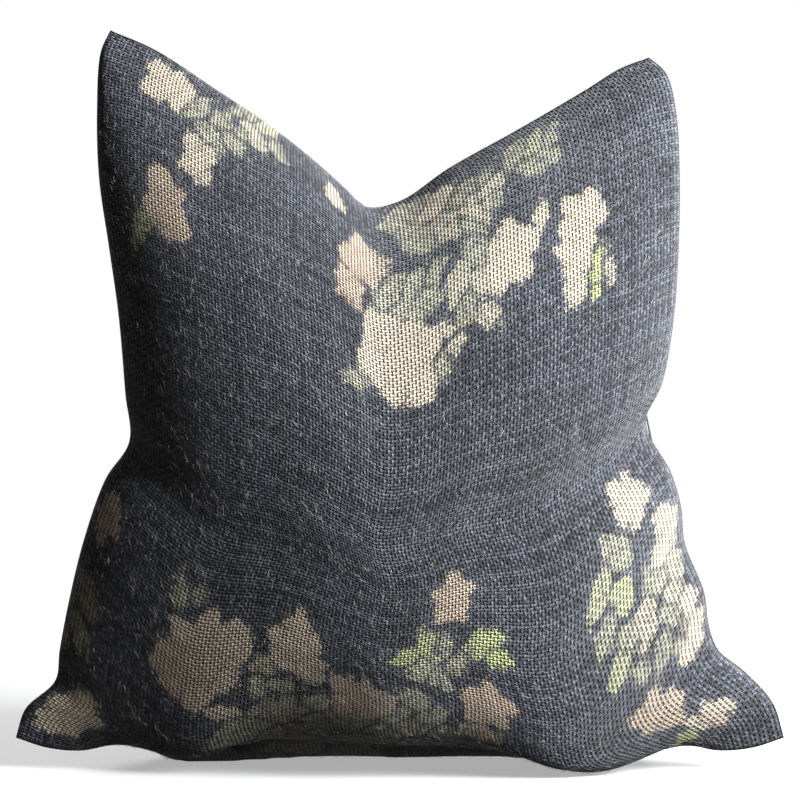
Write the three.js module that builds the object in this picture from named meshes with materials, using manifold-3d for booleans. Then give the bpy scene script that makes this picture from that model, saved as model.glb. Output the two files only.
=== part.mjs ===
// A knife-edged throw pillow with a chopped top: a woven cover of two panels sewn round three
// sides and closed by a concealed zip in the bottom seam, over a feather insert in its own casing.
// Millimetres, +Z up, front towards -Y. The origin is under the middle, on the surface it stands on.
import * as THREE from "three";
import { mergeVertices } from "three/addons/utils/BufferGeometryUtils.js";
import Module from "manifold-3d";

// ---- driving dimensions ----
const lean = THREE.MathUtils.degToRad(9); // the sewn edge leans back by this much
const seamFoot = -43.8; // y of the sewn edge's leaning plane where it meets the floor
const zipTilt = THREE.MathUtils.degToRad(14); // the zip's own plane leans back further
const cutSize = 508; // the cover panels' width and height, seam to seam, laid flat
const clothThick = 1.4;
const tickingThick = 0.8;
const belly = 110; // roughly how far each side stands out of the middle surface
const slack = 4; // room between the cover and the insert

const zip = { z: 17, length: 340, slot: 1.1, tapeWidth: 9, tapeThick: 0.6, stop: 4 };
const coil = { inner: 0.8, outer: 2.6, low: 4.0, high: 5.6 };
const slider = { length: 9, half: 3.7, wall: 0.7, neckHalf: 0.45, neckLength: 2.6, plate: 0.9 };
const bridge = { top: -0.8, half: 1.9, width: 1.2, wire: 0.7, drop: 2.3 };
const pull = { length: 24, width: 3.6, thick: 0.9, windowLength: 3.2, windowWidth: 1.9, droop: 16 };

const cells = { cover: 20, insert: 16 }; // grid cells along each edge of a panel

// ---- the sewn edge, seen from the front: x and z of the points that each side runs through ----
const leftEdge = [
  [-246, 20], [-240, 38], [-221, 56], [-219, 75], [-213, 108], [-204, 146], [-191, 184], [-176, 208],
  [-179, 238], [-184, 290], [-191, 335], [-198, 380], [-200, 426], [-198, 464], [-192, 478],
];
const rightEdge = [
  [246, 20], [239, 42], [221, 62], [205, 75], [199, 90], [196, 112], [184, 143], [182, 166],
  [176, 188], [160, 220], [171, 246], [179, 289], [183, 341], [184, 387], [182, 426], [176, 449], [165, 460],
];
const topEdge = [
  [-192, 478], [-162, 465], [-122, 439], [-84, 413], [-52, 387], [-36, 373], [-24, 361],
  [0, 365], [32, 386], [78, 412], [122, 438], [146, 453], [165, 460],
];
const zipEnd = zip.length / 2 + 6;
const bottomEdge = [
  [-246, 20], [-226, 14], [-204, 12], [-zipEnd, zip.z], [-100, zip.z], [0, zip.z],
  [100, zip.z], [zipEnd, zip.z], [204, 12], [226, 14], [246, 20],
];

const onLean = ([x, z]) => new THREE.Vector3(x, seamFoot + z * Math.tan(lean), z);
const edge = (points) => new THREE.CatmullRomCurve3(points.map(onLean), false, "centripetal");
const left = edge(leftEdge);
const right = edge(rightEdge);
const top = edge(topEdge);
const bottom = edge(bottomEdge);
const backward = new THREE.Vector3(0, Math.cos(zipTilt), -Math.sin(zipTilt)); // across the zip
const inward = new THREE.Vector3(0, Math.sin(zipTilt), Math.cos(zipTilt)); // from the zip into the pillow

// The middle surface: a Coons patch over the four edges, u across and v up, both 0 to 1.
const corner = [bottom.getPointAt(0), bottom.getPointAt(1), top.getPointAt(0), top.getPointAt(1)];
function middle(u, v) {
  const p = bottom.getPointAt(u).multiplyScalar(1 - v).addScaledVector(top.getPointAt(u), v);
  p.addScaledVector(left.getPointAt(v), 1 - u).addScaledVector(right.getPointAt(v), u);
  const share = [(1 - u) * (1 - v), u * (1 - v), (1 - u) * v, u * v];
  share.forEach((s, i) => p.addScaledVector(corner[i], -s));
  return p;
}

const bump = (x, centre, width) => Math.exp(-(((x - centre) / width) ** 2));

// Each upright strip of a panel is a cubic Bezier curve. These are the y and z by which its lower and
// its upper handle leave the middle surface.
const handles = { front: [[-117, -106], [-103, 54]], back: [[158, -206], [147, 54]] };

// How far the filling sags over the two feet that the pillow stands on.
const sag = {
  front: (u) => 125 * bump(u, 0.16, 0.1) + 150 * bump(u, 0.82, 0.14),
  back: (u) => 134 * bump(u, 0.18, 0.13) + 134 * bump(u, 0.82, 0.13),
};

// How far a point of a panel stands off the middle surface. side is -1 for the front and 1 for the back,
// and share is how much of the sag it takes.
function swell(side, u, v, share) {
  const face = side < 0 ? "front" : "back";
  const [low, high] = handles[face];
  const [nearLow, nearHigh] = [3 * v * (1 - v) ** 2, 3 * v * v * (1 - v)];
  const across = 4 * u * (1 - u);
  const y = Math.sqrt(across) * (nearLow * low[0] + nearHigh * high[0]);
  const drop = share * 6 * v * (1 - v) ** 5 * sag[face](u);
  return new THREE.Vector3(0, y, across * (nearLow * low[1] + nearHigh * high[1] - drop));
}

// A layer is inset from the sewn edge, is shallower than the cover by `loss`, lies that far off the floor
// and takes its share of the sag: the insert hangs clear of the zip.
const cover = { inset: 0, loss: 0, sag: 1 };
const coverInside = { inset: clothThick, loss: clothThick, sag: 1 };
const insertLayer = (extra) => ({ inset: 19 + extra, loss: clothThick + slack + extra, sag: 0.7 });
const insert = insertLayer(0);
const insertInside = insertLayer(tickingThick);
const filling = insertLayer(tickingThick + 1);

// Half the gap between the two panels' edges: the zip's slot in the bottom seam, shut elsewhere.
function seamGap(x, v) {
  const alongZip = 1 - THREE.MathUtils.smoothstep(Math.abs(x), zip.length / 2 + 3, zip.length / 2 + 12);
  return 0.2 + (zip.slot - 0.2) * alongZip * bump(v, 0, 0.03);
}

function surface(layer, side, u, v) {
  const inset = layer.inset / cutSize;
  const at = (t) => inset + (1 - 2 * inset) * t;
  const p = middle(at(u), at(v));
  p.addScaledVector(backward, side * seamGap(p.x, v));
  p.addScaledVector(swell(side, u, v, layer.sag), 1 - layer.loss / belly);
  p.z = Math.max(p.z, layer.loss);
  return p;
}

// ---- closed bodies from grids ----
// Cosine spacing keeps the rows close together near the edges, where a panel curves most.
const eased = (t) => (1 - Math.cos(Math.PI * t)) / 2;

function grid(n, point) {
  const rows = [];
  for (let j = 0; j <= n; j++) {
    for (let i = 0; i <= n; i++) rows.push(point(i / n, j / n));
  }
  return rows;
}

// Two grids of the same size, joined round their rims; `outer` is seen from outside the body.
function between(n, outer, inner, flip) {
  const points = [...grid(n, outer), ...grid(n, inner)];
  const size = (n + 1) * (n + 1);
  const faces = [];
  const quad = (a, b, c, d) => faces.push(a, b, c, a, c, d);
  const at = (i, j) => j * (n + 1) + i;
  for (let j = 0; j < n; j++) {
    for (let i = 0; i < n; i++) {
      quad(at(i, j), at(i + 1, j), at(i + 1, j + 1), at(i, j + 1));
      quad(size + at(i, j), size + at(i, j + 1), size + at(i + 1, j + 1), size + at(i + 1, j));
    }
  }
  for (let k = 0; k < n; k++) {
    quad(at(k, 0), size + at(k, 0), size + at(k + 1, 0), at(k + 1, 0));
    quad(at(n, k), size + at(n, k), size + at(n, k + 1), at(n, k + 1));
    quad(at(k + 1, n), size + at(k + 1, n), size + at(k, n), at(k, n));
    quad(at(0, k + 1), size + at(0, k + 1), size + at(0, k), at(0, k));
  }
  if (flip) faces.reverse();
  const body = new THREE.BufferGeometry().setFromPoints(points).setIndex(faces);
  body.computeVertexNormals();
  return body;
}

const panel = (n, side, outside, inside) =>
  between(
    n,
    (s, t) => surface(outside, side, eased(s), eased(t)),
    (s, t) => surface(inside, side, eased(s), eased(t)),
    side > 0,
  );

const solidFilling = (n) =>
  between(
    n,
    (s, t) => surface(filling, -1, eased(s), eased(t)),
    (s, t) => surface(filling, 1, eased(s), eased(t)),
    false,
  );

// A small label that lies in the slack between the cover and the insert, over part of one panel.
function label(side, [u0, u1], [v0, v1]) {
  const layer = (extra) => ({ inset: 7, loss: clothThick + slack / 2 + extra, sag: 0.9 });
  const place = (extra) => (s, t) => surface(layer(extra), side, u0 + (u1 - u0) * s, v0 + (v1 - v0) * t);
  return between(4, place(0), place(0.4), side > 0);
}

// A tube round a row of points; a closed one joins its last ring to its first.
function tube(points, radius, sides, closed) {
  const count = points.length;
  const places = [];
  points.forEach((here, i) => {
    const before = points[closed ? (i + count - 1) % count : Math.max(i - 1, 0)];
    const after = points[closed ? (i + 1) % count : Math.min(i + 1, count - 1)];
    const along = new THREE.Vector3().subVectors(after, before);
    const across = new THREE.Vector3().crossVectors(along, backward).normalize();
    for (let k = 0; k < sides; k++) {
      const turn = (2 * Math.PI * k) / sides;
      const place = here.clone().addScaledVector(backward, radius * Math.cos(turn));
      places.push(place.addScaledVector(across, radius * Math.sin(turn)));
    }
  });
  const faces = [];
  for (let i = 0; i < (closed ? count : count - 1); i++) {
    for (let k = 0; k < sides; k++) {
      const [a, b] = [i * sides + k, i * sides + ((k + 1) % sides)];
      const [c, d] = [a, b].map((p) => (p + sides) % places.length);
      faces.push(a, b, c, b, d, c);
    }
  }
  for (let k = 1; k < sides - 1 && !closed; k++) {
    const last = (count - 1) * sides;
    faces.push(0, k + 1, k, last, last + k, last + k + 1);
  }
  return new THREE.BufferGeometry().setFromPoints(places).setIndex(faces);
}

// ---- stitched lines, on the middle surface ----
// Straight runs from corner to corner in u and v, with `count` steps on each.
function stitchLine(corners, count) {
  const points = [middle(...corners[0])];
  for (let c = 1; c < corners.length; c++) {
    const [from, to] = [corners[c - 1], corners[c]];
    for (let k = 1; k <= count; k++) {
      const t = eased(k / count);
      points.push(middle(from[0] + (to[0] - from[0]) * t, from[1] + (to[1] - from[1]) * t));
    }
  }
  return points;
}

// The overlocked edge of the cover's turned-in seam, from one end of the zip round to the other.
function coverThread() {
  const e = 6.5 / cutSize;
  const start = 0.12;
  const corners = [[1 - start, e], [1 - e, e], [1 - e, 1 - e], [e, 1 - e], [e, e], [start, e]];
  return tube(stitchLine(corners, cells.cover), 0.6, 5, false);
}

// The insert's bound edge is a cord all the way round, just outside its casing.
function insertBinding() {
  const e = 13 / cutSize;
  const points = stitchLine([[e, e], [1 - e, e], [1 - e, 1 - e], [e, 1 - e], [e, e]], cells.cover);
  points.pop();
  return tube(points, 0.8, 5, true);
}

// ---- the zip, in its own frame: x along it, y towards the back, z into the pillow ----
function block(x, y, z) {
  const size = [x, y, z].map(([low, high]) => high - low);
  const box = new THREE.BoxGeometry(...size);
  return box.translate(...[x, y, z].map(([low, high]) => (low + high) / 2));
}

const zipHalf = zip.length / 2;
const tape = (side) => {
  const y = [side * coil.inner, side * (coil.inner + zip.tapeWidth)].sort((a, b) => a - b);
  return block([-zipHalf - 6, zipHalf + 6], y, [3.1, 3.1 + zip.tapeThick]);
};
const coilBar = (side) => {
  const y = [side * coil.inner, side * coil.outer].sort((a, b) => a - b);
  return block([-zipHalf, zipHalf], y, [coil.low, coil.high]);
};
const stopClip = (side) => {
  const x = [side * (zipHalf + 0.4), side * (zipHalf + 0.4 + zip.stop)].sort((a, b) => a - b);
  return block(x, [-coil.outer, coil.outer], [coil.low, coil.high + 0.4]);
};

// ---- the slider and its pull, in the zip's frame, the slider's middle at x = 0 ----
const wasm = await Module();
wasm.setup();

function solid(geometry) {
  const bare = new THREE.BufferGeometry().setAttribute("position", geometry.getAttribute("position"));
  bare.setIndex(geometry.getIndex());
  const merged = mergeVertices(bare, 1e-4);
  const vertProperties = new Float32Array(merged.getAttribute("position").array);
  const triVerts = new Uint32Array(merged.getIndex().array);
  return new wasm.Manifold(new wasm.Mesh({ numProp: 3, vertProperties, triVerts }));
}

function geometryOf(body) {
  const { vertProperties, triVerts } = body.getMesh();
  const made = new THREE.BufferGeometry();
  made.setAttribute("position", new THREE.BufferAttribute(vertProperties, 3));
  return made.setIndex(new THREE.BufferAttribute(triVerts, 1));
}

const sum = (blocks) => geometryOf(wasm.Manifold.union(blocks.map(solid)));
const symmetric = (half) => [-half, half];

const bridgeLow = bridge.top - 2 * bridge.wire - bridge.drop;
const hingeZ = bridge.top - bridge.wire - bridge.drop / 2;

function sliderBody() {
  const lid = coil.high + 0.3;
  const wall = (side) => {
    const y = [side * (slider.half - slider.wall), side * slider.half].sort((a, b) => a - b);
    return block(symmetric(slider.length / 2), y, [coil.low, lid + 0.1]);
  };
  const wireY = symmetric(bridge.width / 2);
  const leg = (side) => {
    const x = [side * bridge.half, side * (bridge.half + bridge.wire)].sort((a, b) => a - b);
    return block(x, wireY, [bridgeLow, bridge.top]);
  };
  const across = symmetric(bridge.half + bridge.wire);
  return sum([
    block(symmetric(slider.length / 2), symmetric(slider.half), [lid, lid + slider.plate]),
    wall(-1),
    wall(1),
    block(symmetric(slider.neckLength / 2), symmetric(slider.neckHalf), [bridge.top - 0.1, lid + 0.1]),
    block(across, wireY, [bridge.top - bridge.wire, bridge.top]),
    block(across, wireY, [bridgeLow, bridgeLow + bridge.wire]),
    leg(-1),
    leg(1),
  ]);
}

// The pull lies towards the middle of the zip; its end bar is inside the bridge, on the hinge's axis.
function pullBody() {
  const half = { plate: pull.width / 2, window: pull.windowWidth / 2, bar: pull.thick / 2 };
  const far = half.bar - pull.length;
  const outline = [
    [half.bar, -half.plate], [half.bar, half.plate], [far + 1, half.plate],
    [far, half.plate - 1], [far, 1 - half.plate], [far + 1, -half.plate],
  ];
  const shape = new THREE.Shape(outline.map(([x, y]) => new THREE.Vector2(x, y)));
  const window = new THREE.Path();
  const start = -half.bar - pull.windowLength;
  window.moveTo(start, -half.window).lineTo(start, half.window);
  window.lineTo(-half.bar, half.window).lineTo(-half.bar, -half.window).closePath();
  shape.holes.push(window);
  const made = new THREE.ExtrudeGeometry(shape, { depth: pull.thick, bevelEnabled: false });
  made.translate(0, 0, -half.bar).rotateY(-THREE.MathUtils.degToRad(pull.droop));
  return made.translate(0, 0, hingeZ);
}

// ---- the assembly ----
const finish = (colour, roughness, metalness = 0) =>
  new THREE.MeshStandardMaterial({ color: colour, roughness, metalness });

const pillow = new THREE.Group();
pillow.name = "throw_pillow";
function add(name, geometry, material) {
  const mesh = new THREE.Mesh(geometry, material);
  mesh.name = name;
  pillow.add(mesh);
}

const zipPlace = new THREE.Matrix4()
  .makeBasis(new THREE.Vector3(1, 0, 0), backward, inward)
  .setPosition(onLean([0, zip.z]));
const addZip = (name, geometry, material, along = 0) =>
  add(name, geometry.translate(along, 0, 0).applyMatrix4(zipPlace), material);

add("cover_front", panel(cells.cover, -1, cover, coverInside), finish("#34353a", 0.95));
add("cover_back", panel(cells.cover, 1, cover, coverInside), finish("#35353a", 0.95));
add("cover_seam_thread", coverThread(), finish("#2a2b30", 0.8));
add("cover_label", label(-1, [0.03, 0.09], [0.3, 0.42]), finish("#e9e6df", 0.7));

addZip("zip_tape_front", tape(-1), finish("#2d2e33", 0.9));
addZip("zip_tape_back", tape(1), finish("#2e2e33", 0.9));
addZip("zip_coil_front", coilBar(-1), finish("#222328", 0.45));
addZip("zip_coil_back", coilBar(1), finish("#232328", 0.45));
addZip("zip_top_stop", stopClip(1), finish("#8d8a86", 0.35, 0.9));
addZip("zip_bottom_stop", stopClip(-1), finish("#8e8a86", 0.35, 0.9));

const closedAt = zipHalf - slider.length / 2 - 0.4;
addZip("zip_slider", sliderBody(), finish("#4b4a4a", 0.4, 0.9), closedAt);
addZip("zip_pull", pullBody(), finish("#4c4a4a", 0.4, 0.9), closedAt);

add("insert_shell_front", panel(cells.insert, -1, insert, insertInside), finish("#efece4", 0.85));
add("insert_shell_back", panel(cells.insert, 1, insert, insertInside), finish("#eeece4", 0.85));
add("insert_binding", insertBinding(), finish("#f2f0ea", 0.8));
add("insert_fill", solidFilling(cells.insert), finish("#f6f4ef", 1));
add("insert_label", label(1, [0.4, 0.5], [0.42, 0.48]), finish("#f4f3ee", 0.6));

export default pillow;
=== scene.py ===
import math
import time

import bpy
import numpy as np
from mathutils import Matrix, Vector


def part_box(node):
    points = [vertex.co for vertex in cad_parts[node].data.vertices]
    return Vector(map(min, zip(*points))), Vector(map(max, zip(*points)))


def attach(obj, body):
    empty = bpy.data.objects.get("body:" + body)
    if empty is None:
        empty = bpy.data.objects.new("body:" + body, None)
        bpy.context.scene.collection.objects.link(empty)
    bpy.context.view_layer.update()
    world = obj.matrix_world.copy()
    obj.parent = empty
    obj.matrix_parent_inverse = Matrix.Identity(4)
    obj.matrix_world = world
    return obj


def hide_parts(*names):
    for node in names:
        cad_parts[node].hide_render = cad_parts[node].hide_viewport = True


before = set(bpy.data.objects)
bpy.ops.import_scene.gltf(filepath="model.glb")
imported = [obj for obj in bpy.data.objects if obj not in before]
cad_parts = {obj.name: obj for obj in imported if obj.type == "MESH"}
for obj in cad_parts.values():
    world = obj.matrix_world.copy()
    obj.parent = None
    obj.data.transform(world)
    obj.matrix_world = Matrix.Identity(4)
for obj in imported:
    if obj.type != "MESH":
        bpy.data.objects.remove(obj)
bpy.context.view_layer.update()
scene = bpy.context.scene
started = time.time()


def say(words):
    print(f"[{time.time() - started:6.1f} s] {words}")


halfWide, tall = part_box("cover_front")[1].x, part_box("cover_front")[1].z
coilFront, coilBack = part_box("zip_coil_front"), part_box("zip_coil_back")
cutSize = 0.508  # a panel's width and height, seam to seam, before it was filled
lean = math.radians(9)
zipTilt = math.radians(14)
zipInward = np.array([0, math.sin(zipTilt), math.cos(zipTilt)])
coilMiddle = np.array((coilFront[0] + coilFront[1] + coilBack[0] + coilBack[1]) / 4)
zipLine = coilMiddle - 0.0048 * zipInward  # a point of the seam that the zip closes
footY = zipLine[1] - zipLine[2] * math.tan(lean)

cover = {
    "cells": 100,  # grid cells along each edge of a panel while it is simulated
    "thickness": 0.0014,
    "pressure": 6,
    "steps": 40,
    "seamDip": 0.0012,
    "besideSeam": [0.0014, 0.0032],  # metres from the sewn edge to the two extra grid lines
    "zipReach": 0.182,  # half the length of the slot that the zip closes
    "zipEnd": 0.009,  # how far the slot takes to close at each end
    # the sewn edge seen from the front, as shares of the half width and of the height
    "left": [
        (-1.0, 0.042), (-0.976, 0.08), (-0.9, 0.117), (-0.89, 0.157), (-0.866, 0.226), (-0.83, 0.305),
        (-0.776, 0.385), (-0.715, 0.435), (-0.727, 0.5), (-0.748, 0.607), (-0.776, 0.7), (-0.805, 0.795),
        (-0.813, 0.89), (-0.805, 0.97), (-0.78, 1.0),
    ],
    "right": [
        (1.0, 0.042), (0.972, 0.088), (0.898, 0.13), (0.833, 0.157), (0.809, 0.188), (0.797, 0.234),
        (0.748, 0.3), (0.74, 0.347), (0.715, 0.393), (0.65, 0.46), (0.695, 0.515), (0.728, 0.605),
        (0.744, 0.713), (0.748, 0.81), (0.74, 0.89), (0.715, 0.94), (0.67, 0.962),
    ],
    "top": [
        (-0.78, 1.0), (-0.66, 0.973), (-0.496, 0.918), (-0.34, 0.864), (-0.21, 0.81), (-0.146, 0.78),
        (-0.09, 0.755), (0.0, 0.763), (0.13, 0.808), (0.317, 0.862), (0.496, 0.916), (0.593, 0.947),
        (0.67, 0.962),
    ],
    "bottom": [
        (-1.0, 0.042), (-0.919, 0.029), (-0.83, 0.025), (-0.715, 0.0356), (-0.4, 0.0356), (0.0, 0.0356),
    ],
    # y and z by which each strip's two Bezier handles leave the middle surface
    "front": [(-0.117, -0.106), (-0.103, 0.054)],
    "back": [(0.158, -0.206), (0.147, 0.054)],
    # how far the filling sags over the two feet: amount, place across, width
    "sagFront": [(0.125, 0.16, 0.10), (0.150, 0.82, 0.14)],
    "sagBack": [(0.134, 0.18, 0.13), (0.134, 0.82, 0.13)],
}


# Points along a smooth curve through `points` (centripetal Catmull-Rom), at the shares `at` of its length.
def along(points, at):
    p = np.array(points, float)
    knots = np.concatenate([[0], np.cumsum(np.linalg.norm(np.diff(p, axis=0), axis=1) ** 0.5)])
    step = np.diff(knots)[:, None]
    slope = np.diff(p, axis=0) / step
    inner = (slope[:-1] * step[1:] + slope[1:] * step[:-1]) / (step[1:] + step[:-1])
    tangent = np.concatenate([slope[:1], inner, slope[-1:]])
    fine = np.linspace(0, knots[-1], 4000)
    i = np.clip(np.searchsorted(knots, fine, side="right") - 1, 0, len(p) - 2)
    h = step[i]
    s = (fine - knots[i])[:, None] / h
    line = (2 * s**3 - 3 * s**2 + 1) * p[i] + (s**3 - 2 * s**2 + s) * h * tangent[i]
    line += (3 * s**2 - 2 * s**3) * p[i + 1] + (s**3 - s**2) * h * tangent[i + 1]
    length = np.concatenate([[0], np.cumsum(np.linalg.norm(np.diff(line, axis=0), axis=1))])
    place = np.interp(at, length / length[-1], fine)
    return np.stack([np.interp(place, fine, line[:, k]) for k in range(3)], axis=-1)


def seamSide(points, n):
    leaning = [(x * halfWide, footY + z * tall * math.tan(lean), z * tall) for x, z in points]
    return along(leaning, np.linspace(0, 1, n + 1))


def square(n):
    return np.meshgrid(np.linspace(0, 1, n + 1), np.linspace(0, 1, n + 1))


# Coons patch: the two ruled surfaces between opposite edges added, less the bilinear one of the corners.
def middleSurface(n):
    mirrored = [(-x, z) for x, z in reversed(cover["bottom"][:-1])]
    bottom, top = seamSide(cover["bottom"] + mirrored, n), seamSide(cover["top"], n)
    left, right = seamSide(cover["left"], n), seamSide(cover["right"], n)
    u, v = (a[..., None] for a in square(n))
    ruled = (1 - v) * bottom[None] + v * top[None] + (1 - u) * left[:, None] + u * right[:, None]
    low = (1 - u) * bottom[0] + u * bottom[-1]
    high = (1 - u) * top[0] + u * top[-1]
    return ruled - (1 - v) * low - v * high


# Each upright strip is a cubic Bezier curve on the middle surface, pulled down by 6 v (1-v)^5 times its sag.
def roughPanel(middle, n, handles, sags):
    u, v = square(n)
    nearLow, nearHigh = 3 * v * (1 - v) ** 2, 3 * v**2 * (1 - v)
    across = 4 * u * (1 - u)
    drop = 6 * v * (1 - v) ** 5 * sum(a * np.exp(-(((u - c) / w) ** 2)) for a, c, w in sags)
    out = middle.copy()
    out[..., 1] += np.sqrt(across) * (nearLow * handles[0][0] + nearHigh * handles[1][0])
    out[..., 2] += across * (nearLow * handles[0][1] + nearHigh * handles[1][1] - drop)
    out[..., 2] = np.maximum(out[..., 2], 0)
    return out


def gridFaces(n, flip):
    i, j = np.meshgrid(np.arange(n), np.arange(n))
    a = (j * (n + 1) + i).ravel()
    faces = np.stack([a, a + 1, a + n + 2, a + n + 1], axis=1)
    return faces[:, ::-1] if flip else faces


def newMesh(name, points, faces):
    mesh = bpy.data.meshes.new(name)
    mesh.from_pydata(np.asarray(points).tolist(), [], np.asarray(faces).tolist())
    mesh.update()
    made = bpy.data.objects.new(name, mesh)
    scene.collection.objects.link(made)
    return made


# Where each point of the back panel stands in the bag: its rim is the front panel's rim.
def sharedRim(n):
    count = (n + 1) ** 2
    shared = np.arange(count).reshape(n + 1, n + 1)
    inner = np.zeros((n + 1, n + 1), bool)
    inner[1:-1, 1:-1] = True
    shared[inner] = count + np.arange(inner.sum())
    return shared, inner


# The cover as one closed bag of two square panels, blown up from the rough shape with its seam held.
def simulate(front, back, n):
    places, inner = sharedRim(n)
    faces = np.concatenate([gridFaces(n, False), places.ravel()[gridFaces(n, True)]])
    bag = newMesh("bag", np.concatenate([front.reshape(-1, 3), back[inner]]), faces)
    u, v = square(n)
    flat = np.stack([(u - 0.5) * cutSize, 0 * u, v * cutSize], axis=-1)
    bag.shape_key_add(name="filled")
    cut = bag.shape_key_add(name="cut")
    cut.data.foreach_set("co", np.concatenate([flat.reshape(-1, 3), flat[inner] + [0, 0.001, 0]]).ravel())
    bag.vertex_groups.new(name="seam").add(np.flatnonzero(~inner.ravel()).tolist(), 1.0, "REPLACE")
    cloth = bag.modifiers.new("cloth", "CLOTH")
    s = cloth.settings
    s.quality = 6
    s.mass = 0.05
    s.tension_stiffness = s.compression_stiffness = 40
    s.shear_stiffness = 10
    s.bending_stiffness = 2
    s.tension_damping = s.compression_damping = 10
    s.air_damping = 4
    s.use_pressure = True
    s.uniform_pressure_force = cover["pressure"]
    s.vertex_group_mass = "seam"
    s.rest_shape_key = cut
    s.effector_weights.gravity = 0
    cloth.collision_settings.use_collision = False
    cloth.point_cache.frame_end = cover["steps"]
    for step in range(1, cover["steps"] + 1):
        scene.frame_set(step)
    done = bag.evaluated_get(bpy.context.evaluated_depsgraph_get()).data
    points = np.empty(len(done.vertices) * 3, np.float32)
    done.vertices.foreach_get("co", points)
    bpy.data.objects.remove(bag)
    scene.frame_set(1)
    points = points.reshape(-1, 3).astype(float)
    return points[: front[..., 0].size].reshape(front.shape), points[places]


# Twice as many cells: each new point is 9/16 of its two neighbours less 1/16 of the next two.
def finer(grid):
    for axis in (0, 1):
        g = np.moveaxis(grid, axis, 0)
        padded = np.concatenate([2 * g[:1] - g[1:2], g, 2 * g[-1:] - g[-2:-1]])
        between = (9 * (padded[1:-2] + padded[2:-1]) - padded[:-3] - padded[3:]) / 16
        out = np.empty((2 * len(g) - 1, *g.shape[1:]))
        out[0::2], out[1::2] = g, between
        grid = np.moveaxis(out, 0, axis)
    return grid


n = cover["cells"]
middle = middleSurface(n)
front = roughPanel(middle, n, cover["front"], cover["sagFront"])
back = roughPanel(middle, n, cover["back"], cover["sagBack"])
say("rough panels")
front, back = simulate(front, back, n)
front[..., 2] = np.maximum(front[..., 2], 0)
back[..., 2] = np.maximum(back[..., 2], 0)
say("cloth simulated")



# A socket that takes part in sums: each operator adds one Math node.
class Wire:
    def __init__(self, tree, socket):
        self.tree, self.socket = tree, socket

    def math(self, operation, *others, clamp=False):
        inputs = dict(enumerate((self, *others)))
        return self.tree.node("ShaderNodeMath", inputs, operation=operation, use_clamp=clamp)

    def __add__(self, other):
        return self.math("ADD", other)

    def __radd__(self, other):
        return self.math("ADD", other)

    def __sub__(self, other):
        return self.math("SUBTRACT", other)

    def __rsub__(self, other):
        return (self * -1) + other

    def __mul__(self, other):
        return self.math("MULTIPLY", other)

    def __rmul__(self, other):
        return self.math("MULTIPLY", other)

    def __truediv__(self, other):
        return self.math("DIVIDE", other)

    def most(self, other):
        return self.math("MAXIMUM", other)

    def floor(self):
        return self.math("FLOOR")

    def sine(self):
        return self.math("SINE")

    # 0 below `low`, 1 above `high`, smooth between
    def ramp(self, low, high):
        inputs = {"Value": self, "From Min": low, "From Max": high}
        return self.tree.node("ShaderNodeMapRange", inputs, interpolation_type="SMOOTHSTEP")


class Tree:
    def __init__(self, name):
        self.material = bpy.data.materials.new(name)
        self.material.use_nodes = True
        self.nodes = self.material.node_tree.nodes
        self.links = self.material.node_tree.links
        self.nodes.clear()

    def node(self, kind, inputs={}, output=0, **settings):
        made = self.nodes.new(kind)
        for name, value in settings.items():
            setattr(made, name, value)
        for key, value in inputs.items():
            if isinstance(value, Wire):
                self.links.new(value.socket, made.inputs[key])
            else:
                made.inputs[key].default_value = value
        return Wire(self, made.outputs[output]) if len(made.outputs) else None

    def mix(self, share, a, b, blend="MIX"):
        inputs = {0: share, 6: a, 7: b}
        return self.node("ShaderNodeMix", inputs, output=2, data_type="RGBA", blend_type=blend)

    def vector(self, x, y, z=0.0):
        return self.node("ShaderNodeCombineXYZ", {0: x, 1: y, 2: z})

    def noise(self, place, scale, detail=2.0, roughness=0.5):
        inputs = {"Vector": place, "Scale": scale, "Detail": detail, "Roughness": roughness}
        return self.node("ShaderNodeTexNoise", inputs)

    def random(self, place):
        return self.node("ShaderNodeTexWhiteNoise", {"Vector": place}, noise_dimensions="3D")

    def attribute(self, name):
        return self.node("ShaderNodeAttribute", output="Fac", attribute_name=name)

    def panelPlace(self):
        uv = self.node("ShaderNodeUVMap", uv_map="panel")
        return [self.node("ShaderNodeSeparateXYZ", {0: uv}, output=k) for k in (0, 1)]

    def surface(self, colour, roughness, height=None, depth=0.001, sheen=0.0, metal=0.0, gloss=0.5):
        inputs = {"Base Color": colour, "Roughness": roughness, "Metallic": metal}
        inputs.update({"Sheen Weight": sheen, "Sheen Roughness": 0.5, "Specular IOR Level": gloss})
        if height is not None:
            bumped = self.node("ShaderNodeBump", {"Height": height, "Distance": depth, "Strength": 1.0})
            inputs["Normal"] = bumped
        shader = self.node("ShaderNodeBsdfPrincipled", inputs)
        self.node("ShaderNodeOutputMaterial", {"Surface": shader})
        return self.material


def shade(red, green, blue):
    return (*[((c / 255 + 0.055) / 1.055) ** 2.4 for c in (red, green, blue)], 1.0)


# The print is petals and leaves: x, y, half length, half width, turn in degrees, tint. Places are in
# millimetres from the panel's lower left corner as seen from outside. A tint of -0.4 is a pinkish tan, 0
# beige, about 0.6 faded olive and 1 or more lime.
# A blossom is a heart and `count` petals round it; `wide` and `tall` are half its size.
def blossom(x, y, wide, tall, turn=0, tint=0.0, count=5):
    shapes = [(x, y, wide * 0.72, tall * 0.72, 0, tint)]
    for k in range(count):
        angle = math.radians(turn + 360 * k / count)
        reach = 0.54 + 0.1 * math.sin(2.3 * k + x)
        petal = (wide + tall) * 0.25 * (1 + 0.2 * math.sin(1.7 * k + y))
        at = (x + wide * reach * math.cos(angle), y + tall * reach * math.sin(angle))
        shapes.append((*at, petal, petal * 0.9, math.degrees(angle), tint + 0.08 * math.sin(k + y)))
    return shapes


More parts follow.
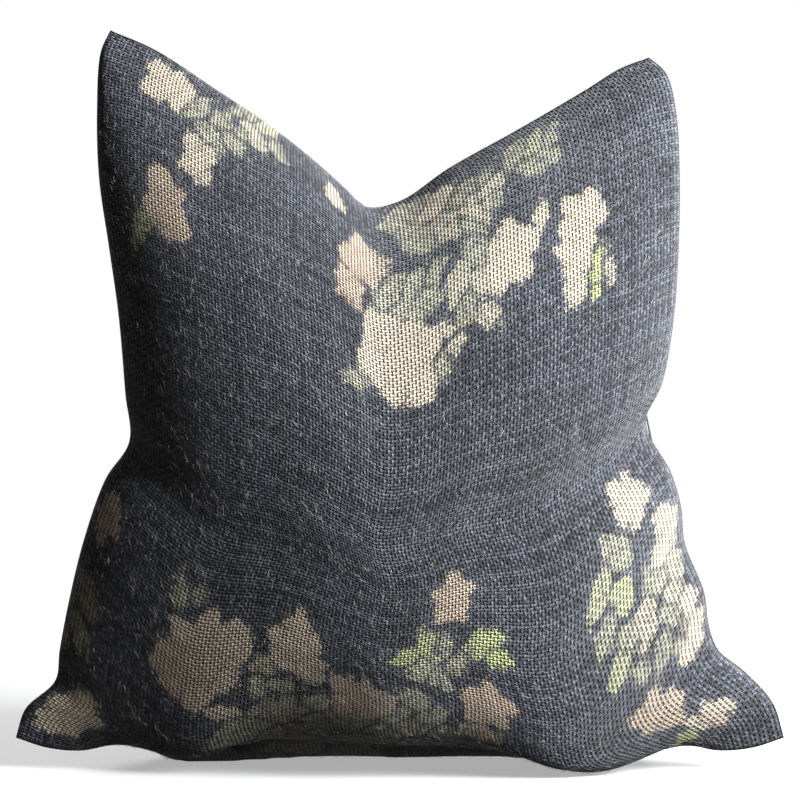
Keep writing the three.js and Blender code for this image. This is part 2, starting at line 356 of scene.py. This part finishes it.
# Leaves left and right of a stem of `length` from (x, y) towards `heading`, smaller towards its tip.
def spray(x, y, length, heading, count, size, tint=0.6, spread=38):
    shapes = []
    for k in range(count):
        turn = heading + spread * (-1) ** k
        stem, out = math.radians(heading), math.radians(turn)
        half = size * (1 - 0.35 * k / count)
        far = length * k / count
        atX = x + far * math.cos(stem) + half * math.cos(out)
        atY = y + far * math.sin(stem) + half * math.sin(out)
        shapes.append((atX, atY, half, half * 0.6, turn, tint + 0.15 * math.sin(2 * k + x)))
    return shapes


def leaf(x, y, length, width, turn, tint):
    return [(x, y, length, width, turn, tint)]


sprigs = {
    "topLeft": blossom(62, 487, 28, 14) + blossom(90, 440, 15, 20, 30, 0.05, 4)
    + spray(75, 470, 60, 5, 5, 15, 0.55) + spray(115, 495, 45, -5, 4, 16, 0.4),
    "upperLeft": blossom(62, 395, 18, 26, 40, -0.28) + leaf(35, 376, 5, 15, -35, 0.9),
    "tanBloom": blossom(243, 432, 22, 20, 20, -0.35, 4) + blossom(226, 402, 16, 13, 30, -0.35, 4),
    "bigBloom": blossom(266, 362, 30, 36, 10, 0.0, 6) + leaf(228, 341, 12, 6, 20, 0.5)
    + spray(303, 340, 36, 80, 3, 11, 0.35),
    "topMiddle": spray(250, 398, 50, 12, 5, 16, 0.6) + spray(258, 472, 90, -12, 7, 22, 0.38)
    + spray(340, 430, 45, 95, 4, 15, 0.55),
    "topRight": blossom(358, 405, 25, 23, 15, 0.0) + spray(322, 425, 60, -80, 5, 17, 0.38)
    + spray(362, 472, 42, 8, 5, 15, 0.6) + leaf(386, 422, 5, 11, -20, 0.2),
    "rightBloom": blossom(421, 412, 22, 18, 60, 0.0) + blossom(416, 388, 15, 22, 20, 0.05)
    + leaf(413, 366, 9, 11, 10, 0.25) + leaf(431, 371, 5, 14, -5, 1.3) + leaf(442, 370, 4, 9, 10, 0.4),
    "bottomLeft": blossom(108, 134, 34, 34, 25, -0.1, 6) + blossom(183, 148, 25, 24, 90, -0.1)
    + spray(85, 160, 20, 70, 2, 10, 0.7) + spray(145, 130, 55, -45, 5, 13, 0.6)
    + leaf(128, 93, 19, 5, -30, 0.0),
    "lowBloom": blossom(235, 116, 26, 22, 0, -0.33) + leaf(199, 102, 15, 8, 20, 0.9),
    "bottomMiddle": blossom(306, 198, 17, 19, 90, -0.38) + blossom(333, 117, 22, 19, 15, -0.38)
    + spray(320, 160, 24, 0, 2, 15, 1.1, 14) + spray(300, 150, 30, 150, 3, 14, 0.95)
    + spray(300, 130, 40, 75, 3, 13, 0.6) + spray(300, 108, 55, 175, 4, 16, 0.6),
    "lowRight": blossom(470, 212, 14, 19, 60, 0.0) + spray(487, 195, 90, -88, 6, 16, 0.3, 12)
    + spray(438, 202, 95, -86, 7, 15, 0.75) + spray(468, 165, 70, -80, 5, 16, 0.5),
    "rightEar": blossom(493, 105, 12, 17, 80, 0.0) + blossom(455, 76, 17, 18, 0, -0.35)
    + blossom(474, 45, 15, 11, 0, -0.2) + leaf(454, 39, 11, 7, 35, 1.0),
    "leftEdge": blossom(13, 170, 11, 16, 0, 0.1, 4) + spray(4, 130, 55, -88, 4, 15, 0.6),
    "leftEar": blossom(25, 35, 17, 24, 20, 0.0),
    "alongSeam": spray(115, 58, 210, 2, 8, 30, 0.45, 12) + spray(150, 84, 180, 0, 7, 26, 0.5, 10),
    "farTop": leaf(214, 476, 7, 11, 30, 0.0),
}
# where the same sprigs fall on the back: sprig, x and y of the move, turn about the sprig's own middle
backPlaces = [
    ("topMiddle", -130, -20, 25), ("bigBloom", -120, 10, 25), ("topRight", -20, -60, -40),
    ("rightBloom", -20, -100, -40), ("bottomMiddle", -190, 60, 60), ("bottomLeft", 170, -30, 15),
    ("lowRight", -60, 40, 70), ("rightEar", -30, 0, 70), ("topLeft", 330, -60, -20),
    ("upperLeft", 350, -200, -20), ("alongSeam", 150, -30, 8), ("bottomMiddle", 60, 160, -50),
    ("leftEdge", 408, -20, 30), ("tanBloom", -160, 10, 30),
]


def movedSprig(petals, moveX, moveY, turn):
    p = np.array(petals, float)
    middleOf = p[:, :2].mean(axis=0)
    c, s = math.cos(math.radians(turn)), math.sin(math.radians(turn))
    off = p[:, :2] - middleOf
    p[:, 0] = middleOf[0] + moveX + off[:, 0] * c - off[:, 1] * s
    p[:, 1] = middleOf[1] + moveY + off[:, 0] * s + off[:, 1] * c
    p[:, 4] += turn
    return p


frontPetals = np.concatenate([np.array(petals, float) for petals in sprigs.values()])
backPetals = np.concatenate([movedSprig(sprigs[name], *move) for name, *move in backPlaces])


# Distance in millimetres from each place to the nearest petal's outline, negative inside it; the tint is the
# average of the petals, each weighted by exp(-2 distance), so that neighbours run into each other, and the
# print is weaker on the line where two petals are equally near.
def printOn(x, y, petals):
    nearest, second = np.full(x.shape, 30.0), np.full(x.shape, 30.0)
    weights, tints = np.full(x.shape, 1e-9), np.zeros(x.shape)
    for px, py, length, width, turn, tint in petals:
        c, s = math.cos(math.radians(turn)), math.sin(math.radians(turn))
        a = ((x - px) * c + (y - py) * s) / length
        b = ((y - py) * c - (x - px) * s) / width
        ends = 1 - 0.35 * np.clip(a * a if length > width else b * b, 0, 1)
        distance = (np.hypot(a, b / ends if length > width else b) - 1) * min(length, width)
        distance -= min(2.6, 0.6 + 0.15 * min(length, width))
        weight = np.exp(-2 * np.clip(distance, -12, 12))
        second = np.minimum(second, np.maximum(nearest, distance))
        nearest = np.minimum(nearest, distance)
        weights += weight
        tints += weight * tint
    tint = tints / weights
    strength = 0.93 - 0.33 * np.exp(-(((tint - 0.55) / 0.22) ** 2))
    fold = np.exp(-(((second - nearest) / 1.7) ** 2))
    strength *= 1 - fold * np.where(tint > 0.25, 0.75, 0.3)
    return nearest, tint, strength


# The grid's lines: even, with two more close beside each sewn edge for the roll of cloth beside the seam.
def seamLines(n):
    close = np.array(cover["besideSeam"]) / cutSize * 2
    return np.unique(np.concatenate([np.linspace(0, 1, n + 1), close, 1 - close]))


def sampled(grid, us, vs):
    n = len(grid) - 1
    def between(g, at):
        i = np.minimum((at * n).astype(int), n - 1)
        share = (at * n - i).reshape(-1, 1, 1)
        return g[i] * (1 - share) + g[i + 1] * share
    rows = between(grid, vs)
    return np.moveaxis(between(np.moveaxis(rows, 1, 0), us), 0, 1)


# A point s from the sewn edge stands off the seam's plane by roll (1 - exp(-s/a)) exp(-s/b), and by small
# waves where the stitches gather the cloth; over the zip the edge also stands back by half the slot.
def withSeam(grid, us, vs, side, seed):
    u, v = np.meshgrid(us, vs)
    s = np.minimum(np.minimum(u, 1 - u), np.minimum(v, 1 - v)) * cutSize
    roll = cover["seamDip"] * (1 - np.exp(-s / 0.0012)) * np.exp(-s / 0.007)
    run = (u + v) * cutSize
    gather = sum(np.sin(run / length + seed * k) for k, length in enumerate((0.0021, 0.0034, 0.0057)))
    roll += 0.00022 * gather * np.exp(-s / 0.012) * (1 - np.exp(-s / 0.003))
    acrossZip = np.clip((cover["zipReach"] - np.abs(grid[..., 0])) / cover["zipEnd"], 0, 1)
    roll += (0.0002 + 0.0009 * acrossZip) * np.exp(-((v / 0.03) ** 2))
    out = grid + side * roll[..., None] * np.array([0, math.cos(lean), -math.sin(lean)])
    out[..., 2] = np.maximum(out[..., 2], 0)
    return out


def setValues(made, name, values):
    layer = made.data.attributes.new(name, "FLOAT", "POINT")
    layer.data.foreach_set("value", np.ascontiguousarray(values, np.float32).ravel())


def smooth(made):
    made.data.polygons.foreach_set("use_smooth", np.ones(len(made.data.polygons), bool))


def setPanelMap(made, places):
    loops = np.empty(len(made.data.loops), np.int32)
    made.data.loops.foreach_get("vertex_index", loops)
    layer = made.data.uv_layers.new(name="panel")
    layer.data.foreach_set("uv", places.reshape(-1, 2)[loops].astype(np.float32).ravel())


def coverPanel(name, grid, side, petals, material):
    lines = seamLines(2 * cover["cells"])
    grid = withSeam(sampled(finer(grid), lines, lines), lines, lines, side, 1.7 + side)
    made = newMesh(name, grid.reshape(-1, 3), gridFaces(len(lines) - 1, side > 0))
    u, v = np.meshgrid(lines, lines)
    u = 1 - u if side > 0 else u
    setPanelMap(made, np.stack([u, v], axis=-1) * cutSize)
    nearest, tint, strength = printOn(u * cutSize * 1000, v * cutSize * 1000, petals)
    edge = np.minimum(np.minimum(u, 1 - u), np.minimum(v, 1 - v)) * cutSize * 1000
    for word, values in (("nearest", nearest), ("tint", tint), ("strength", strength), ("edge", edge)):
        setValues(made, word, values)
    smooth(made)
    made.data.materials.append(material)
    thick = made.modifiers.new("thickness", "SOLIDIFY")
    thick.thickness, thick.offset = cover["thickness"], -1
    return made, grid


cloth = {
    "warp": 0.003,  # from one warp yarn to the next, on the panel
    "weft": 0.0021,
    "dark": (20, 20, 23),  # the darkest and the lightest charcoal yarns
    "light": (143, 146, 159),
    "beige": (226, 209, 184),
    "tan": (206, 183, 160),
    "olive": (198, 195, 168),
    "lime": (190, 197, 136),
    "relief": 0.0013,
}


# Plain weave. With a and b counting warp and weft yarns, the warp lies over the weft where
# cos(pi (b + column)) is 1, and each yarn's back is round: 1 - (2 x)^2 across it.
def coverCloth(name, seed):
    t = Tree(name)
    x, y = t.panelPlace()
    place = t.vector(x, y, seed)
    a = (x + (t.noise(place, 70) - 0.5) * 0.0014) / cloth["warp"]
    b = (y + (t.noise(place, 95) - 0.5) * 0.001) / cloth["weft"]
    column = a.floor()
    row = (b + 0.5).floor()
    odd = column.math("FLOORED_MODULO", 2.0)
    over = ((b + odd) * math.pi).math("COSINE")
    acrossWarp, acrossWeft = a - column - 0.5, b - row
    warp = (1 - acrossWarp * acrossWarp * 4) * (over * 0.5 + 0.5).math("POWER", 0.7)
    weft = (1 - acrossWeft * acrossWeft * 4) * (0.5 - over * 0.5).math("POWER", 0.7) * 0.84
    isWarp = warp.math("GREATER_THAN", weft)
    whichCrown = ((b + odd + 1) * 0.5).floor() * isWarp + row * (1 - isWarp)
    crown = t.vector(column * isWarp + 0.5, whichCrown, isWarp + seed)
    chance = t.random(crown)
    yarn = t.random(t.vector(column, seed, 3.0))
    fibre = t.noise(place, 1500, detail=3.0, roughness=0.7)
    cloud = t.noise(place, 14, detail=3.0)
    height = warp.most(weft)
    top = height.ramp(0.16, 0.8)

    wear = chance * 0.34 + yarn * 0.08 + (fibre - 0.5) * 1.6 + (cloud - 0.5) * 0.35 + 0.2
    ground = t.mix(wear.ramp(0.1, 1.2), shade(*cloth["dark"]), shade(*cloth["light"]))

    tint = t.attribute("tint") + (cloud - 0.5) * 0.5
    warmPart = t.mix(tint.ramp(-0.35, 0.05), shade(*cloth["tan"]), shade(*cloth["beige"]))
    greenPart = t.mix(tint.ramp(0.65, 1.15), shade(*cloth["olive"]), shade(*cloth["lime"]))
    dye = t.mix(tint.ramp(0.12, 0.55), warmPart, greenPart)
    dye = t.mix((0.28 - chance * 0.34 + (fibre - 0.5) * 0.9).ramp(0.0, 1.0), dye, shade(74, 66, 56))
    ragged = t.attribute("nearest") + (chance - 0.5) * 4.4 + (t.noise(place, 120, detail=3.0) - 0.5) * 15.0
    blotch = (t.noise(place, 170, detail=3.0) - 0.5) * t.attribute("tint").ramp(-0.1, 0.5)
    faded = 0.9 + (cloud - 0.5) * 0.5 + blotch * 2.2
    inside = (1 - ragged.ramp(-2.6, 1.8)) * t.attribute("strength") * faded
    colour = t.mix(inside.ramp(0.0, 1.0), ground, dye)
    shadowed = (top * 0.95 + 0.05) * t.attribute("edge").ramp(-0.6, 1.5)
    colour = t.mix(1.0, colour, t.vector(shadowed, shadowed, shadowed), blend="MULTIPLY")
    relief = height + (fibre - 0.5) * 0.35 + chance * 0.2
    return t.surface(colour, 0.92, height=relief, depth=cloth["relief"], sheen=0.18, gloss=0.12)


frontCloth = coverCloth("charcoal_weave_front", 0.0)
backCloth = coverCloth("charcoal_weave_back", 5.0)
coverFront, frontGrid = coverPanel("pillow_cover_front", front, -1, frontPetals, frontCloth)
coverBack, backGrid = coverPanel("pillow_cover_back", back, 1, backPetals, backCloth)
for piece, node in ((coverFront, "cover_front"), (coverBack, "cover_back")):
    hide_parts(node)
    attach(piece, "pillow")
say("cover panels")


fuzz = {
    "front": 7500,  # hairs on each panel
    "back": 5000,
    "length": (0.0015, 0.007),
    "thickness": 0.00005,
    "lift": 0.0009,
}


# Each hair is a three-sided tube on a bent line: root + length s along the cloth + lift sin(pi s) off it.
def hairs(name, grid, side, count, seed, material):
    rng = np.random.default_rng(seed)
    i, j = rng.integers(3, len(grid) - 4, (2, count))
    root = grid[j, i]
    east, north = grid[j, i + 1] - root, grid[j + 1, i] - root
    east /= np.linalg.norm(east, axis=1, keepdims=True)
    north /= np.linalg.norm(north, axis=1, keepdims=True)
    out = np.cross(east, north) * -side
    out /= np.linalg.norm(out, axis=1, keepdims=True)
    root = root + east * rng.uniform(0, 0.002, (count, 1)) + north * rng.uniform(0, 0.002, (count, 1))
    heading = rng.uniform(0, 2 * math.pi, (count, 1))
    bend = rng.normal(0, 1.1, (count, 1))
    length = rng.uniform(*fuzz["length"], (count, 1))
    lift = fuzz["lift"] * rng.uniform(0.3, 1.4, (count, 1))
    s = np.linspace(0, 1, 4)[None, :, None]
    turn = heading[:, None] + bend[:, None] * s
    across = np.cos(turn) * east[:, None] + np.sin(turn) * north[:, None]
    line = root[:, None] + across * length[:, None] * s
    line = line + out[:, None] * (0.0002 + lift[:, None] * np.sin(math.pi * (0.15 + 0.7 * s)))
    beside = np.cross(across, out[:, None])
    angle = np.arange(3) * 2 * math.pi / 3
    thickness = fuzz["thickness"] * rng.uniform(0.6, 1.3, (count, 1, 1, 1))
    ring = np.cos(angle)[:, None] * beside[:, :, None] + np.sin(angle)[:, None] * out[:, None, None]
    points = line[:, :, None] + ring * thickness
    k, m = np.meshgrid(np.arange(3), np.arange(3))
    corner, step = k.ravel(), m.ravel()
    after = (corner + 1) % 3
    base = step * 3
    sides = np.stack([base + corner, base + after, base + 3 + after, base + 3 + corner], axis=1)
    faces = (np.arange(count)[:, None, None] * 12 + sides[None]).reshape(-1, 4)
    caps = np.arange(count)[:, None] * 12 + np.array([[2, 1, 0, 9, 10, 11]])
    points[..., 2] = np.maximum(points[..., 2], 0)
    mesh = bpy.data.meshes.new(name)
    mesh.from_pydata(points.reshape(-1, 3).tolist(), [], faces.tolist() + caps.reshape(-1, 3).tolist())
    made = bpy.data.objects.new(name, mesh)
    scene.collection.objects.link(made)
    made.data.materials.append(material)
    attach(made, "pillow")
    return made


def hairFinish():
    t = Tree("lint")
    place = t.node("ShaderNodeTexCoord", output=3)
    colour = t.mix(t.noise(place, 120).ramp(0.35, 0.65), shade(96, 94, 96), shade(196, 190, 180))
    return t.surface(colour, 0.8)


lint = hairFinish()
hairs("cover_lint_front", frontGrid, -1, fuzz["front"], 11, lint)
hairs("cover_lint_back", backGrid, 1, fuzz["back"], 12, lint)
say("lint")


insert = {
    "cells": 50,
    "inset": 0.019,  # from the cover's seam to the casing's, on the panel
    "loss": 0.0064,  # how much less the casing swells than the cover
    "belly": 0.11,
    "thickness": 0.0008,
}


# The layer's rim is inset on the middle surface, and each side is the cover's own bulge made shallower.
def innerLayer(grid, inset, loss, us=None, vs=None):
    us = np.linspace(0, 1, insert["cells"] + 1) if us is None else us
    vs = us if vs is None else vs
    e = inset / cutSize
    bulge = sampled(grid - middle, us, vs) * (1 - loss / insert["belly"])
    out = sampled(middle, e + (1 - 2 * e) * us, e + (1 - 2 * e) * vs) + bulge
    out[..., 2] = np.maximum(out[..., 2], loss)
    return out


def wovenFinish(name, base, other, pitch, relief=0.0002, roughness=0.85, sheen=0.1):
    t = Tree(name)
    place = t.node("ShaderNodeTexCoord", output=3)
    x, z = (t.node("ShaderNodeSeparateXYZ", {0: place}, output=k) for k in (0, 2))
    weave = (x * (2 * math.pi / pitch)).sine() * (z * (2 * math.pi / pitch)).sine()
    fibre = t.noise(place, 900, detail=3.0, roughness=0.7)
    share = (weave * 0.35 + fibre).ramp(0.1, 1.0)
    colour = t.mix(share, shade(*base), shade(*other))
    return t.surface(colour, roughness, height=weave + fibre, depth=relief, sheen=sheen)


def downFinish():
    t = Tree("feathers")
    place = t.node("ShaderNodeTexCoord", output=3)
    tufts = t.noise(place, 130, detail=5.0, roughness=0.75)
    quills = t.noise(place, 40, detail=4.0)
    colour = t.mix(tufts.ramp(0.3, 0.7), shade(206, 199, 186), shade(250, 247, 240))
    colour = t.mix(quills.ramp(0.62, 0.75), colour, shade(170, 160, 146))
    return t.surface(colour, 0.95, height=tufts, depth=0.003, sheen=0.4)


def keep(made, node, material):
    smooth(made)
    made.data.materials.append(material)
    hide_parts(node)
    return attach(made, "pillow")


ticking = wovenFinish("ticking", (214, 209, 198), (240, 237, 229), 0.0007)
labelCloth = wovenFinish("label_satin", (222, 218, 208), (244, 242, 236), 0.0005, 0.0001, 0.55)
for side, word, panel in ((-1, "front", front), (1, "back", back)):
    layer = innerLayer(panel, insert["inset"], insert["loss"])
    shell = newMesh("feather_casing_" + word, layer.reshape(-1, 3), gridFaces(insert["cells"], side > 0))
    thick = shell.modifiers.new("thickness", "SOLIDIFY")
    thick.thickness, thick.offset = insert["thickness"], -1
    keep(shell, "insert_shell_" + word, ticking)

fillLoss, fillInset = insert["loss"] + 0.002, insert["inset"] + 0.002
fillFront, fillBack = (innerLayer(panel, fillInset, fillLoss) for panel in (front, back))
fillPlaces, fillInner = sharedRim(insert["cells"])
fillPoints = np.concatenate([fillFront.reshape(-1, 3), fillBack[fillInner]])
fillBackFaces = fillPlaces.ravel()[gridFaces(insert["cells"], True)]
fillFaces = np.concatenate([gridFaces(insert["cells"], False), fillBackFaces])
filling = newMesh("feather_filling", fillPoints, fillFaces)
keep(filling, "insert_fill", downFinish())


# A label is a small part of a layer in the slack between the cover and the insert.
def label(name, node, panel, side, across, up):
    us, vs = np.linspace(*across, 13), np.linspace(*up, 13)
    grid = innerLayer(panel, 0.007, 0.0036, us, vs)
    made = newMesh(name, grid.reshape(-1, 3), gridFaces(12, side > 0))
    thick = made.modifiers.new("thickness", "SOLIDIFY")
    thick.thickness, thick.offset = 0.0004, -1
    keep(made, node, labelCloth)


label("care_label", "cover_label", front, -1, (0.03, 0.09), (0.3, 0.42))
label("insert_care_label", "insert_label", back, 1, (0.4, 0.5), (0.42, 0.48))
say("insert")


def twist(name, base, other, pitch):
    t = Tree(name)
    place = t.node("ShaderNodeTexCoord", output=3)
    x, y, z = (t.node("ShaderNodeSeparateXYZ", {0: place}, output=k) for k in (0, 1, 2))
    ply = ((x + y * 0.7 + z) * (2 * math.pi / pitch)).sine()
    fibre = t.noise(place, 2500, detail=2.0)
    return t.surface(t.mix((ply * 0.3 + fibre).ramp(0.1, 0.9), shade(*base), shade(*other)), 0.75,
                     height=ply + fibre, depth=0.0002, sheen=0.2)


def metalFinish(name, base, worn):
    t = Tree(name)
    place = t.node("ShaderNodeTexCoord", output=3)
    stretched = t.node("ShaderNodeMapping", {"Vector": place, "Scale": (400, 3000, 400)})
    scratches = t.noise(stretched, 1.0, detail=4.0)
    patches = t.noise(place, 350, detail=3.0)
    colour = t.mix(patches.ramp(0.5, 0.75), shade(*base), shade(*worn))
    return t.surface(colour, scratches * 0.25 + 0.25, height=scratches, depth=0.00003, metal=0.95)


def nylonFinish():
    t = Tree("coil_nylon")
    place = t.node("ShaderNodeTexCoord", output=3)
    colour = t.mix(t.noise(place, 500).ramp(0.3, 0.7), shade(26, 26, 30), shade(46, 46, 52))
    return t.surface(colour, 0.42, height=t.noise(place, 3000), depth=0.00003)


def dress(node, material):
    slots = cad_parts[node].data.materials
    slots.clear()
    slots.append(material)


zipTape = wovenFinish("zip_tape_twill", (34, 34, 38), (58, 58, 64), 0.0009, roughness=0.9)
darkMetal = metalFinish("gunmetal", (62, 60, 58), (128, 124, 118))
paleMetal = metalFinish("nickel", (150, 147, 142), (190, 187, 182))
dress("cover_seam_thread", twist("overlock_thread", (30, 30, 34), (66, 66, 72), 0.0011))
dress("insert_binding", twist("binding_cord", (216, 212, 202), (244, 241, 234), 0.0014))
for node in ("zip_tape_front", "zip_tape_back"):
    dress(node, zipTape)
for node in ("zip_slider", "zip_pull"):
    dress(node, darkMetal)
for node in ("zip_top_stop", "zip_bottom_stop"):
    dress(node, paleMetal)

coil = {
    "pitch": 0.0016,
    "wire": 0.00028,  # half the wire's thickness
    "high": 0.00078,
    "wide": 0.0009,
    "steps": 10,
    "sides": 5,
}


# The coil's wire runs round an oval as it goes along the zip: angle 2 pi x / pitch.
def zipCoil(name, node, side, shift):
    low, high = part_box(node)
    turns = int((high.x - low.x - 0.001) / coil["pitch"])
    angle = np.linspace(0, 2 * math.pi * turns, turns * coil["steps"] + 1)
    x = low.x + 0.0005 + coil["pitch"] * (angle / (2 * math.pi) + shift)
    axis = {"back": np.array([0, math.cos(zipTilt), -math.sin(zipTilt)]), "in": zipInward}
    heart = coilMiddle + axis["back"] * side * (coil["wide"] + coil["wire"] + 0.0002)
    line = heart + coil["wide"] * np.cos(angle)[:, None] * axis["back"]
    line = line + coil["high"] * np.sin(angle)[:, None] * axis["in"]
    line[:, 0] = x
    forward = np.gradient(line, axis=0)
    forward /= np.linalg.norm(forward, axis=1, keepdims=True)
    outward = np.cos(angle)[:, None] * axis["back"] + np.sin(angle)[:, None] * axis["in"]
    other = np.cross(forward, outward)
    turn = np.arange(coil["sides"]) * 2 * math.pi / coil["sides"]
    ring = np.cos(turn)[None, :, None] * outward[:, None] + np.sin(turn)[None, :, None] * other[:, None]
    points = line[:, None] + coil["wire"] * ring
    count, sides = len(line), coil["sides"]
    i, k = (q.ravel() for q in np.meshgrid(np.arange(count - 1), np.arange(sides), indexing="ij"))
    after = (k + 1) % sides
    base, ahead = i * sides, (i + 1) * sides
    faces = np.stack([base + k, base + after, ahead + after, ahead + k], axis=1)
    ends = [list(range(sides))[::-1], [(count - 1) * sides + q for q in range(sides)]]
    mesh = bpy.data.meshes.new(name)
    mesh.from_pydata(points.reshape(-1, 3).tolist(), [], faces.tolist() + ends)
    made = bpy.data.objects.new(name, mesh)
    scene.collection.objects.link(made)
    keep(made, node, nylon)


nylon = nylonFinish()
zipCoil("zip_coil_wire_front", "zip_coil_front", -1, 0.0)
zipCoil("zip_coil_wire_back", "zip_coil_back", 1, 0.5)
say("threads and zip")


studio = {
    "view": 1.4,  # metres from the camera to the pillow
    "elevation": 3.0,
    "halfWidth": 0.256,  # half of what the camera takes in, at the pillow
    "aim": (0.0, -0.03, 0.236),
}


def plain(name, colour, strength):
    t = Tree(name)
    glow = t.node("ShaderNodeEmission", {"Color": colour, "Strength": strength})
    t.node("ShaderNodeOutputMaterial", {"Surface": glow})
    return t.material


# The floor's colour is partly painted light. Near the pillow it is 60 percent matt and 40 percent white
# glow, which lightens the shadow on it. Further out it runs into all glow, the white of the dome.
def makeFloor():
    reach = 2.9
    corners = [(x * reach, y * reach, -0.0004) for x, y in ((-1, -1), (1, -1), (1, 1), (-1, 1))]
    floor = newMesh("floor", corners, [(0, 1, 2, 3)])
    t = Tree("pale_floor_painted_glow")
    place = t.node("ShaderNodeTexCoord", output=3)
    away = t.node("ShaderNodeVectorMath", {0: place}, output=1, operation="LENGTH")
    matt = t.node("ShaderNodeBsdfPrincipled", {"Base Color": shade(238, 238, 238), "Roughness": 0.9})
    glow = t.node("ShaderNodeEmission", {"Color": (1, 1, 1, 1), "Strength": 1.0})
    # painted light: the white glow's share is 0.4 near the pillow and rises to 1 further away
    mixed = t.node("ShaderNodeMixShader", {0: away.ramp(0.1, 0.9) * 0.6 + 0.4, 1: matt, 2: glow})
    t.node("ShaderNodeOutputMaterial", {"Surface": mixed})
    floor.data.materials.append(t.material)
    floor.visible_diffuse = False


# A pale dome that only the camera sees: radius 2.9 m, rings of constant height.
def makeDome():
    u, v = square(48)
    ring, up = u * 2 * math.pi, (v - 0.5) * math.pi
    points = np.stack([np.cos(ring) * np.cos(up), np.sin(ring) * np.cos(up), np.sin(up)], axis=-1) * 2.95
    dome = newMesh("backdrop", points.reshape(-1, 3), gridFaces(48, True))
    dome.data.materials.append(plain("backdrop_white", (1, 1, 1, 1), 1.0))
    dome.visible_diffuse = dome.visible_glossy = dome.visible_transmission = dome.visible_shadow = False


def lamp(name, azimuth, elevation, distance, size, power, colour):
    a, e = math.radians(azimuth), math.radians(elevation)
    towards = Vector((math.sin(a) * math.cos(e), -math.cos(a) * math.cos(e), math.sin(e)))
    light = bpy.data.lights.new(name, "AREA")
    light.energy, light.size, light.color = power, size, colour
    made = bpy.data.objects.new(name, light)
    made.location = Vector((0, 0, 0.25)) + towards * distance
    made.rotation_euler = (-towards).to_track_quat("-Z", "Y").to_euler()
    scene.collection.objects.link(made)


def makeCamera():
    e = math.radians(studio["elevation"])
    back = Vector((0, -math.cos(e), math.sin(e)))
    camera = bpy.data.cameras.new("camera")
    camera.lens = camera.sensor_width / 2 * studio["view"] / studio["halfWidth"]
    made = bpy.data.objects.new("camera", camera)
    made.location = Vector(studio["aim"]) + back * studio["view"]
    made.rotation_euler = (-back).to_track_quat("-Z", "Y").to_euler()
    scene.collection.objects.link(made)
    scene.camera = made


makeFloor()
makeDome()
lamp("window", 69, 26, 1.7, 0.9, 150, (0.94, 0.97, 1.0))
lamp("overhead", -10, 80, 1.8, 1.0, 2, (0.9, 0.95, 1.0))
lamp("warm_side", -50, 0, 2.0, 1.2, 1.6, (1.0, 0.8, 0.58))
lamp("behind", 165, 25, 1.9, 1.0, 34, (1.0, 1.0, 1.0))
scene.world = bpy.data.worlds.new("room")
scene.world.use_nodes = True
scene.world.node_tree.nodes["Background"].inputs["Color"].default_value = (0.9, 0.93, 1.0, 1)
scene.world.node_tree.nodes["Background"].inputs["Strength"].default_value = 0.025
scene.view_settings.view_transform = "Standard"
makeCamera()
say("stage")
